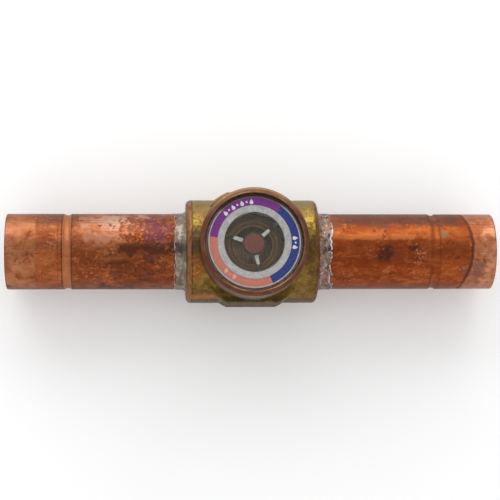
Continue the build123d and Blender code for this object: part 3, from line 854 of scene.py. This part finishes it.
@dataclass
class BrazedJoint:
    """One stub brazed into the body: the tube, the frozen alloy round it and the flux left on it."""

    side: Side
    tube_finish: Finish
    alloy: Finish
    reach: float                        # mm that the alloy ran out along the tube
    seed: int
    flux_wander: float                  # mm that the flux line strays either way
    flux_bead: float                    # mm, its usual radius
    tube_r: float = 15.875
    socket_r: float = 15.975
    film_start: float = 16.45           # mm along the pipe, where the tube ends in the body
    face: float = 27.45                 # mm along the pipe, the body's end face
    height: float = 1.0                 # mm that the fillet climbs on the end face
    climb: float = 2.2                  # mm of tube under the thick part of the fillet
    curl: float = 2.2                   # how hollow the fillet is; 1 is a straight ramp
    film: float = 0.16                  # mm of alloy on the tube beyond it
    toe: float = 0.1                    # mm that the alloy's thin edge dips into the tube
    sink: float = 0.02                  # mm that alloy and flux lie into what is under them
    steps: int = 18                     # along the fillet
    around: int = 360                   # round the tube
    lump: float = 0.14                  # mm that lumps rise and sink
    lump_size: float = 1.9              # mm between lumps
    heel_lumps: float = 0.3             # share of them at the end face
    fringe: float = 0.3                 # share of its reach that the alloy's edge strays
    fringe_size: float = 3.0            # mm between its tongues
    bend_size: float = 3.2              # mm between the flux line's bends
    bead_size: float = 2.6              # mm between its beads
    bead_share: float = 0.6             # of the usual radius, halfway between bead and gap
    bead_least: float = 0.02            # of the usual radius, in a gap
    line_steps: int = 700
    line_sides: int = 6
    grain_r: float = 0.2                # mm, a flux grain's usual radius
    grain_range: tuple[float, float] = (0.4, 1.8)   # of the usual radius
    grains: float = 0.06                # flux grains on each mm²
    grain_start: float = 0.4            # mm of alloy without grains, beside the end face

    FRINGE_ROW, BEND_ROW, BEAD_ROW = 0.05, 0.02, 0.09   # m along the noise, apart so that they differ

    def section(self) -> list[tuple[float, float, float]]:
        """Work out the closed section of the alloy.

        Returns:
            Distance along the pipe, radius and how lumpy the place is, for each point.
        """
        points = []
        for step in range(self.steps + 1):
            out = self.reach * (1 - step / self.steps)
            thick = self.height * max(0.0, 1 - out / self.climb) ** self.curl
            lumpy = 1.0 if step < self.steps else self.heel_lumps
            points.append((self.face + out, self.tube_r + self.film + thick, lumpy))
        edge = (self.face + self.reach, self.tube_r - self.toe, 0.0)
        return [
            edge,
            *points[1:],
            (self.face - self.sink, self.tube_r + self.film + self.height, 0.0),
            (self.face - self.sink, self.socket_r, 0.0),
            (self.film_start, self.socket_r, 0.0),
            (self.film_start, self.tube_r, 0.0),
            edge,
        ]

    def rule(self) -> GeometryRule:
        """Write the tree: the alloy as a bent sheet, a wandering flux line and flux grains.

        Returns:
            The rule, ready to run.
        """
        span, rise = self.reach + self.face - self.film_start, self.height + self.film + self.toe
        rule = GeometryRule(f"braze_{self.side.name.lower()}", {
            "Side": float(self.side.value), "Start": self.film_start * MM, "Span": span * MM,
            "Root Radius": (self.tube_r - self.toe) * MM, "Rise": rise * MM, "Around": self.around,
            "Lump Height": self.lump * MM, "Lump Size": self.lump_size * MM,
            "Fringe": self.fringe, "Fringe Size": self.fringe_size * MM,
            "Flux Place": (self.face + self.reach) * MM, "Flux Wander": self.flux_wander * MM,
            "Flux Bead": self.flux_bead * MM, "Grain Size": self.grain_r * MM,
            "Grain Density": self.grains / MM**2, "Seed": self.seed,
            "Alloy": self.alloy.material(), "Flux": FLUX_RESIDUE.material(),
        })
        alloy = self.bent_sheet(rule, span, rise)
        rule.end([
            (add(rule.tree, "GeometryNodeSetShadeSmooth", {0: alloy}).outputs[0], "Alloy"),
            (self.flux_line(rule), "Flux"),
            (self.flux_grains(rule, alloy), "Flux"),
        ])
        return rule

    def bent_sheet(self, rule: GeometryRule, span: float, rise: float) -> bpy.types.Node:
        """Bend a flat grid round the tube along the section, with lumps and a ragged edge.

        Args:
            rule: The rule being written.
            span: Length of the section in mm.
            rise: Height of the section in mm.

        Returns:
            The alloy, closed.
        """
        tree, given, section = rule.tree, rule.given, self.section()
        sheet = add(tree, "GeometryNodeMeshGrid", {"Size X": 1.0, "Size Y": 1.0, "Vertices X": given["Around"],
                                                   "Vertices Y": len(section)})
        spot = add(tree, "ShaderNodeSeparateXYZ", {0: add(tree, "GeometryNodeInputPosition")}).outputs
        turn = add(tree, "ShaderNodeMath", {0: spot[0], 1: math.tau}, operation="MULTIPLY")
        way = add(tree, "ShaderNodeMath", {0: spot[1], 1: 0.5}, operation="ADD")
        shares = []
        for part, (start, size) in enumerate(((self.film_start, span), (self.tube_r - self.toe, rise), (0.0, 1.0))):
            curve = add(tree, "ShaderNodeFloatCurve", {"Value": way})
            points = curve.mapping.curves[0].points
            while len(points) < len(section):
                points.new(0.5, 0.5)
            for index, place in enumerate(section):
                points[index].location = (index / (len(section) - 1), (place[part] - start) / size)
                points[index].handle_type = "VECTOR"
            curve.mapping.update()
            shares.append(curve)
        along = add(tree, "ShaderNodeMath", {0: shares[0], 1: given["Span"], 2: given["Start"]},
                    operation="MULTIPLY_ADD")
        radius = add(tree, "ShaderNodeMath", {0: shares[1], 1: given["Rise"], 2: given["Root Radius"]},
                     operation="MULTIPLY_ADD")
        push = add(tree, "ShaderNodeMath", {0: self.lumps(rule, turn, along, given["Lump Size"]),
                                            1: given["Lump Height"]}, operation="MULTIPLY")
        radius = add(tree, "ShaderNodeMath", {0: push, 1: shares[2], 2: radius}, operation="MULTIPLY_ADD")
        past = add(tree, "ShaderNodeMath", {0: along, 1: self.face * MM}, operation="SUBTRACT")
        past = add(tree, "ShaderNodeMath", {0: past, 1: 0.0}, operation="MAXIMUM")
        fringe = add(tree, "ShaderNodeMath", {0: self.lumps(rule, turn, self.FRINGE_ROW, given["Fringe Size"]),
                                              1: given["Fringe"]}, operation="MULTIPLY")
        ragged = add(tree, "ShaderNodeMath", {0: past, 1: fringe, 2: along}, operation="MULTIPLY_ADD")
        moved = add(tree, "GeometryNodeSetPosition", {
            "Geometry": sheet, "Position": self.wrapped(rule, turn, ragged, radius)})
        return add(tree, "GeometryNodeMergeByDistance", {0: moved, "Distance": MERGE})

    def ring_point(self, rule: GeometryRule, turn: bpy.types.Node, along: bpy.types.Node | float,
                   radius: bpy.types.Node | float) -> bpy.types.Node:
        """Place a point from its turn round the pipe axis.

        Args:
            rule: The rule being written.
            turn: Angle in radians from straight up.
            along: Distance along the pipe axis.
            radius: Distance from the pipe axis.

        Returns:
            The point.
        """
        legs = []
        for operation in ("SINE", "COSINE"):
            share = add(rule.tree, "ShaderNodeMath", {0: turn}, operation=operation)
            legs.append(add(rule.tree, "ShaderNodeMath", {0: share, 1: radius}, operation="MULTIPLY"))
        return add(rule.tree, "ShaderNodeCombineXYZ", {0: along, 1: legs[0], 2: legs[1]})

    def wrapped(self, rule: GeometryRule, turn: bpy.types.Node, along: bpy.types.Node,
                radius: bpy.types.Node | float) -> bpy.types.Node:
        """Place a point round this joint's tube.

        Args:
            rule: The rule being written.
            turn: Angle in radians.
            along: Distance from the body's middle.
            radius: Distance from the pipe axis.

        Returns:
            The point, on this joint's side of the body.
        """
        side = add(rule.tree, "ShaderNodeMath", {0: along, 1: rule.given["Side"]}, operation="MULTIPLY")
        return self.ring_point(rule, turn, side, radius)

    def lumps(self, rule: GeometryRule, turn: bpy.types.Node, along: bpy.types.Node | float,
              size: bpy.types.NodeSocket | float) -> bpy.types.Node:
        """Give seamless noise round the pipe, from about -1 to 1.

        Args:
            rule: The rule being written.
            turn: Angle in radians.
            along: Distance from the body's middle.
            size: Distance between lumps.

        Returns:
            The noise.
        """
        tree = rule.tree
        spot = self.ring_point(rule, turn, along, self.tube_r * MM)
        scale = add(tree, "ShaderNodeMath", {0: 1.0, 1: size}, operation="DIVIDE")
        noise = add(tree, "ShaderNodeTexNoise",
                    {"Vector": spot, "W": rule.given["Seed"], "Scale": scale, "Detail": 3.0},
                    noise_dimensions="4D").outputs[0]
        middle = add(tree, "ShaderNodeMath", {0: noise, 1: 0.5}, operation="SUBTRACT")
        return add(tree, "ShaderNodeMath", {0: middle, 1: NOISE_GAIN}, operation="MULTIPLY")

    def flux_line(self, rule: GeometryRule) -> bpy.types.NodeSocket:
        """Lay a thin broken line of flux that wanders round the tube at the edge of the alloy.

        Args:
            rule: The rule being written.

        Returns:
            Its geometry.
        """
        tree, given = rule.tree, rule.given
        circle = add(tree, "GeometryNodeCurvePrimitiveCircle", {"Resolution": self.line_steps, "Radius": 1.0})
        spot = add(tree, "ShaderNodeSeparateXYZ", {0: add(tree, "GeometryNodeInputPosition")}).outputs
        turn = add(tree, "ShaderNodeMath", {0: spot[1], 1: spot[0]}, operation="ARCTAN2")
        stray = self.lumps(rule, turn, self.BEND_ROW, self.bend_size * MM)
        along = add(tree, "ShaderNodeMath", {0: stray, 1: given["Flux Wander"], 2: given["Flux Place"]},
                    operation="MULTIPLY_ADD")
        laid = add(tree, "GeometryNodeSetPosition", {
            "Geometry": circle, "Position": self.wrapped(rule, turn, along, (self.tube_r + self.sink) * MM)})
        swell = add(tree, "ShaderNodeMath", {0: self.lumps(rule, turn, self.BEAD_ROW, self.bead_size * MM),
                                             1: self.bead_share}, operation="ADD")
        swell = add(tree, "ShaderNodeMath", {0: swell, 1: self.bead_least}, operation="MAXIMUM")
        size = add(tree, "ShaderNodeMath", {0: swell, 1: given["Flux Bead"]}, operation="MULTIPLY")
        profile = add(tree, "GeometryNodeCurvePrimitiveCircle", {"Resolution": self.line_sides, "Radius": 1.0})
        tube = add(tree, "GeometryNodeCurveToMesh", {"Curve": laid, "Profile Curve": profile, "Scale": size})
        return add(tree, "GeometryNodeSetShadeSmooth", {0: tube}).outputs[0]

    def flux_grains(self, rule: GeometryRule, alloy: bpy.types.Node) -> bpy.types.NodeSocket:
        """Scatter small flux grains on the alloy that shows.

        Args:
            rule: The rule being written.
            alloy: The alloy's geometry.

        Returns:
            The grains, as instances.
        """
        tree, given = rule.tree, rule.given
        spot = add(tree, "ShaderNodeSeparateXYZ", {0: add(tree, "GeometryNodeInputPosition")}).outputs
        out = add(tree, "ShaderNodeMath", {0: spot[0]}, operation="ABSOLUTE")
        shown = add(tree, "FunctionNodeCompare", {0: out, 1: (self.face + self.grain_start) * MM},
                    operation="GREATER_THAN")
        points = add(tree, "GeometryNodeDistributePointsOnFaces", {
            "Mesh": alloy, "Selection": shown, "Density": given["Grain Density"], "Seed": given["Seed"]})
        grain = add(tree, "GeometryNodeMeshIcoSphere", {"Radius": 1.0, "Subdivisions": 2})
        low, high = (add(tree, "ShaderNodeMath", {0: given["Grain Size"], 1: share}, operation="MULTIPLY")
                     for share in self.grain_range)
        size = add(tree, "FunctionNodeRandomValue", {2: low, 3: high, "Seed": given["Seed"]}, data_type="FLOAT")
        return add(tree, "GeometryNodeInstanceOnPoints", {
            "Points": points, "Instance": grain, "Scale": size.outputs[1]}).outputs[0]

    def build(self) -> None:
        """Make the alloy with its flux and dress the tube."""
        name = self.side.name.lower()
        carry(f"{name}_stub", self.tube_finish)
        joint = self.rule().make(f"{name}_braze_fillet")
        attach(joint, HOUSING)
        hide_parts(f"{name}_braze")


@dataclass
class ForgedBody:
    """The forged brass barrel."""

    def build(self) -> None:
        """Dress the barrel."""
        carry("body", FORGED_BRASS)


@dataclass
class ClampRing:
    """The window ring and the washer under its lip."""

    def build(self) -> None:
        """Dress both."""
        carry("window_ring", BROWNED_BRASS)
        carry("slip_washer", BAKED_STEEL)


@dataclass
class MarkRow:
    """A row of drops and dots along the dial in one of its colours."""

    name: str
    middle: float                       # degrees round the dial
    sweep: float                        # degrees from the first mark to the last
    count: int
    ink: Finish = WHITE_INK


@dataclass
class Window:
    """The steel shell with its glass, dial and gasket."""

    glass_r: float = 12.06
    glass_top: float = 28.3
    glass_bottom: float = 24.3
    glass_around: int = 128
    inner_r: float = 6.0                # mm to a ring of points that keeps the flat faces even
    flat_r: float = 10.4                # mm to the start of the meniscus
    meniscus: float = 0.22              # mm that the glass climbs at the shell
    meniscus_steps: int = 6
    under_share: float = 0.4            # the lower meniscus against the upper
    dial_top: float = 28.55
    mark_r: float = 16.7                # mm to the row of marks
    mark_height: float = 1.15           # mm, half of a drop's height
    mark_points: int = 20               # round a mark
    drop_taper: float = 0.85            # how a drop narrows to its tip; 1 is straight
    dot_share: float = 0.36             # a dot against a drop
    ink: float = 0.03                   # mm of ink
    rows: tuple[MarkRow, ...] = field(default_factory=lambda: (
        MarkRow("middle_marks", 114.5, 41.0, 7),
        MarkRow("dry_marks", -1.0, 13.0, 3),
        MarkRow("wet_marks", 232.5, 14.0, 3, THIN_INK),
    ))

    def build_glass(self) -> None:
        """Cast the glass with a meniscus where it wets the shell."""
        bend = []
        for step in range(1, self.meniscus_steps + 1):
            share = step / self.meniscus_steps
            bend.append((self.flat_r + (self.glass_r - self.flat_r) * share, self.meniscus * share**3))
        above = [(radius, self.glass_top) for radius in (0.0, self.inner_r, self.flat_r)]
        above += [(radius, self.glass_top + rise) for radius, rise in bend]
        below = [(radius, self.glass_bottom) for radius in (0.0, self.inner_r, self.flat_r)]
        below += [(radius, self.glass_bottom + rise * self.under_share) for radius, rise in bend]
        pane = lathe("window_pane", above + below[::-1], self.glass_around)
        dress(pane, SIGHT_GLASS)
        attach(pane, HOUSING)
        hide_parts("window_glass")

    def mark_shapes(self, tree: bpy.types.NodeTree) -> tuple[bpy.types.Node, bpy.types.Node]:
        """Draw the two flat marks.

        Args:
            tree: The node tree being written.

        Returns:
            A drop of half height 1 with its tip outwards, and a dot.
        """
        place = add(tree, "GeometryNodeInputPosition")
        spot = add(tree, "ShaderNodeSeparateXYZ", {0: place}).outputs
        belly = add(tree, "ShaderNodeMath", {0: spot[0], 1: -0.5, 2: 0.5}, operation="MULTIPLY_ADD")
        belly = add(tree, "ShaderNodeMath", {0: belly, 1: self.drop_taper}, operation="POWER")
        width = add(tree, "ShaderNodeMath", {0: spot[1], 1: belly}, operation="MULTIPLY")
        drop = add(tree, "ShaderNodeCombineXYZ", {0: spot[0], 1: width})
        dot = add(tree, "ShaderNodeVectorMath", {0: place, 3: self.dot_share}, operation="SCALE")
        marks = []
        for shape in (drop, dot):
            outline = add(tree, "GeometryNodeCurvePrimitiveCircle", {"Resolution": self.mark_points, "Radius": 1.0})
            bent = add(tree, "GeometryNodeSetPosition", {"Geometry": outline, "Position": shape})
            marks.append(add(tree, "GeometryNodeFillCurve", {0: bent}))
        return marks[0], marks[1]

    def mark_rule(self) -> GeometryRule:
        """Write the tree for a row of marks that alternate between a drop and a dot.

        Returns:
            The rule, ready to run.
        """
        rule = GeometryRule("dial_mark_row", {
            "Row Radius": self.mark_r * MM, "Middle": 0.0, "Sweep": 0.5, "Count": 3,
            "Half Height": self.mark_height * MM, "Level": self.dial_top * MM,
            "Ink Thickness": self.ink * MM, "Ink": WHITE_INK.material(),
        })
        tree, given = rule.tree, rule.given
        start = add(tree, "ShaderNodeMath", {0: given["Sweep"], 1: -0.5, 2: given["Middle"]}, operation="MULTIPLY_ADD")
        arc = add(tree, "GeometryNodeCurveArc", {"Resolution": given["Count"], "Radius": given["Row Radius"],
                                                 "Start Angle": start, "Sweep Angle": given["Sweep"]})
        facing = add(tree, "FunctionNodeAlignRotationToVector",
                     {"Vector": add(tree, "GeometryNodeInputPosition")}, axis="X")
        size = add(tree, "ShaderNodeCombineXYZ", {0: given["Half Height"], 1: given["Half Height"], 2: 1.0})
        odd = add(tree, "ShaderNodeMath", {0: add(tree, "GeometryNodeInputIndex"), 1: 2.0}, operation="MODULO")
        joined = add(tree, "GeometryNodeJoinGeometry")
        for order, mark in enumerate(self.mark_shapes(tree)):
            wanted = add(tree, "FunctionNodeCompare", {0: odd, 1: float(order), "Epsilon": 0.1}, operation="EQUAL")
            row = add(tree, "GeometryNodeInstanceOnPoints", {
                "Points": arc, "Selection": wanted, "Instance": mark, "Rotation": facing, "Scale": size})
            tree.links.new(row.outputs[0], joined.inputs[0])
        flat = add(tree, "GeometryNodeRealizeInstances", {0: joined})
        lift = add(tree, "ShaderNodeCombineXYZ", {2: given["Level"]})
        level = add(tree, "GeometryNodeSetPosition", {"Geometry": flat, "Offset": lift})
        thick = add(tree, "GeometryNodeExtrudeMesh", {
            "Mesh": level, "Offset": (0.0, 0.0, 1.0), "Offset Scale": given["Ink Thickness"], "Individual": False})
        under = add(tree, "GeometryNodeFlipFaces", {0: level})
        whole = add(tree, "GeometryNodeJoinGeometry")
        for part in (thick, under):
            tree.links.new(part.outputs[0], whole.inputs[0])
        rule.end([(whole.outputs[0], "Ink")])
        return rule

    def build(self) -> None:
        """Dress the shell, dial and gasket, cast the glass and print the marks."""
        carry("glass_shell", PLATED_STEEL)
        carry("colour_dial", DIAL_FILM)
        carry("shell_gasket", SKIVED_PTFE)
        self.build_glass()
        rule = self.mark_rule()
        for row in self.rows:
            marks = rule.make(row.name, middle=math.radians(row.middle), sweep=math.radians(row.sweep),
                              count=row.count, ink=row.ink.material())
            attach(marks, HOUSING)


@dataclass
class MoistureIndicator:
    """The indicator paper in its cup on the spring clip."""

    def build(self) -> None:
        """Dress its pieces."""
        carry("moisture_paper", INDICATOR_PAPER)
        carry("element_wick", WICK_FELT)
        carry("element_cup", TINNED_BRASS)
        carry("element_washer", TINNED_BRASS)
        carry("spider_clip", SPRING_STEEL)


@dataclass(frozen=True)
class Softbox:
    """One rectangular light that faces the object."""

    name: str
    place: tuple[float, float, float]   # m
    size: tuple[float, float]           # m
    watts: float

    def hang(self) -> None:
        """Put it in the scene."""
        light = bpy.data.lights.new(self.name, "AREA")
        light.shape = "RECTANGLE"
        light.size, light.size_y = self.size
        light.energy = self.watts
        lamp = bpy.data.objects.new(self.name, light)
        lamp.location = self.place
        lamp.rotation_euler = Vector(self.place).to_track_quat("Z", "Y").to_euler()
        bpy.context.scene.collection.objects.link(lamp)


@dataclass
class Studio:
    """Floor, lights and camera."""

    camera_distance: float = 685.0      # mm from the pipe axis
    tilt: float = 8.0                   # degrees from the window axis towards -Y
    yaw: float = 3.4                    # degrees towards the inlet
    sensor: float = 36.0                # mm
    focal: float = 116.6                # mm
    aim: tuple[float, float] = (-0.2, 0.7)   # mm on the pipe axis plane at the frame's middle
    floor_drop: float = 0.3             # mm from the body's lowest line to the floor
    floor_half: float = 3000.0          # mm
    sky: float = 0.9                    # strength of the even pale world
    softboxes: tuple[Softbox, ...] = (
        Softbox("key_softbox", (-0.1, 0.85, 0.45), (1.4, 0.8), 6.0),
        Softbox("fill_softbox", (0.1, -0.8, 0.35), (0.9, 0.4), 0.5),
    )

    def build_floor(self) -> None:
        """Lay a pale floor under the barrel."""
        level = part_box("body")[0][2] - self.floor_drop * MM
        half = self.floor_half * MM
        mesh = bpy.data.meshes.new("floor")
        corners = [(-half, -half, level), (half, -half, level), (half, half, level), (-half, half, level)]
        mesh.from_pydata(corners, [], [(0, 1, 2, 3)])
        floor = bpy.data.objects.new("floor", mesh)
        bpy.context.scene.collection.objects.link(floor)
        dress(floor, STUDIO_WHITE)

    def build_lights(self) -> None:
        """Broad light from the far side, a weaker fill from the near side and an even pale world."""
        for softbox in self.softboxes:
            softbox.hang()
        world = bpy.data.worlds.new("pale_world")
        world.use_nodes = True
        background = world.node_tree.nodes["Background"]
        background.inputs["Color"].default_value = linear("#ffffff")
        background.inputs["Strength"].default_value = self.sky
        bpy.context.scene.world = world
        bpy.context.scene.view_settings.view_transform = "Standard"

    def build_camera(self) -> None:
        """Set the camera nearly over the window, tilted towards -Y, with the pipe level."""
        tilt, yaw = math.radians(self.tilt), math.radians(self.yaw)
        back = Vector((-math.sin(yaw), -math.cos(yaw) * math.sin(tilt), math.cos(yaw) * math.cos(tilt)))
        pipe = Vector((1, 0, 0))
        across = (pipe - back * pipe.dot(back)).normalized()
        up = back.cross(across)
        target = Vector((self.aim[0] * MM, self.aim[1] * MM, 0.0))
        data = bpy.data.cameras.new("camera")
        data.sensor_width = self.sensor
        data.lens = self.focal
        camera = bpy.data.objects.new("camera", data)
        turn = Matrix((across, up, back)).transposed().to_4x4()
        camera.matrix_world = Matrix.Translation(target + back * self.camera_distance * MM) @ turn
        bpy.context.scene.collection.objects.link(camera)
        bpy.context.scene.camera = camera

    def build(self) -> None:
        """Make the whole studio."""
        self.build_floor()
        self.build_lights()
        self.build_camera()


def main() -> None:
    """Build each sub-assembly in order, then the studio."""
    logging.basicConfig(level=logging.INFO, format="%(name)s: %(message)s")
    ForgedBody().build()
    BrazedJoint(Side.INLET, INLET_COPPER, INLET_ALLOY, reach=4.6, seed=3, flux_wander=0.5, flux_bead=0.1).build()
    BrazedJoint(Side.OUTLET, OUTLET_COPPER, OUTLET_ALLOY, reach=5.6, seed=11, flux_wander=1.3, flux_bead=0.36).build()
    ClampRing().build()
    Window().build()
    MoistureIndicator().build()
    Studio().build()


if __name__ == "__main__":
    main()
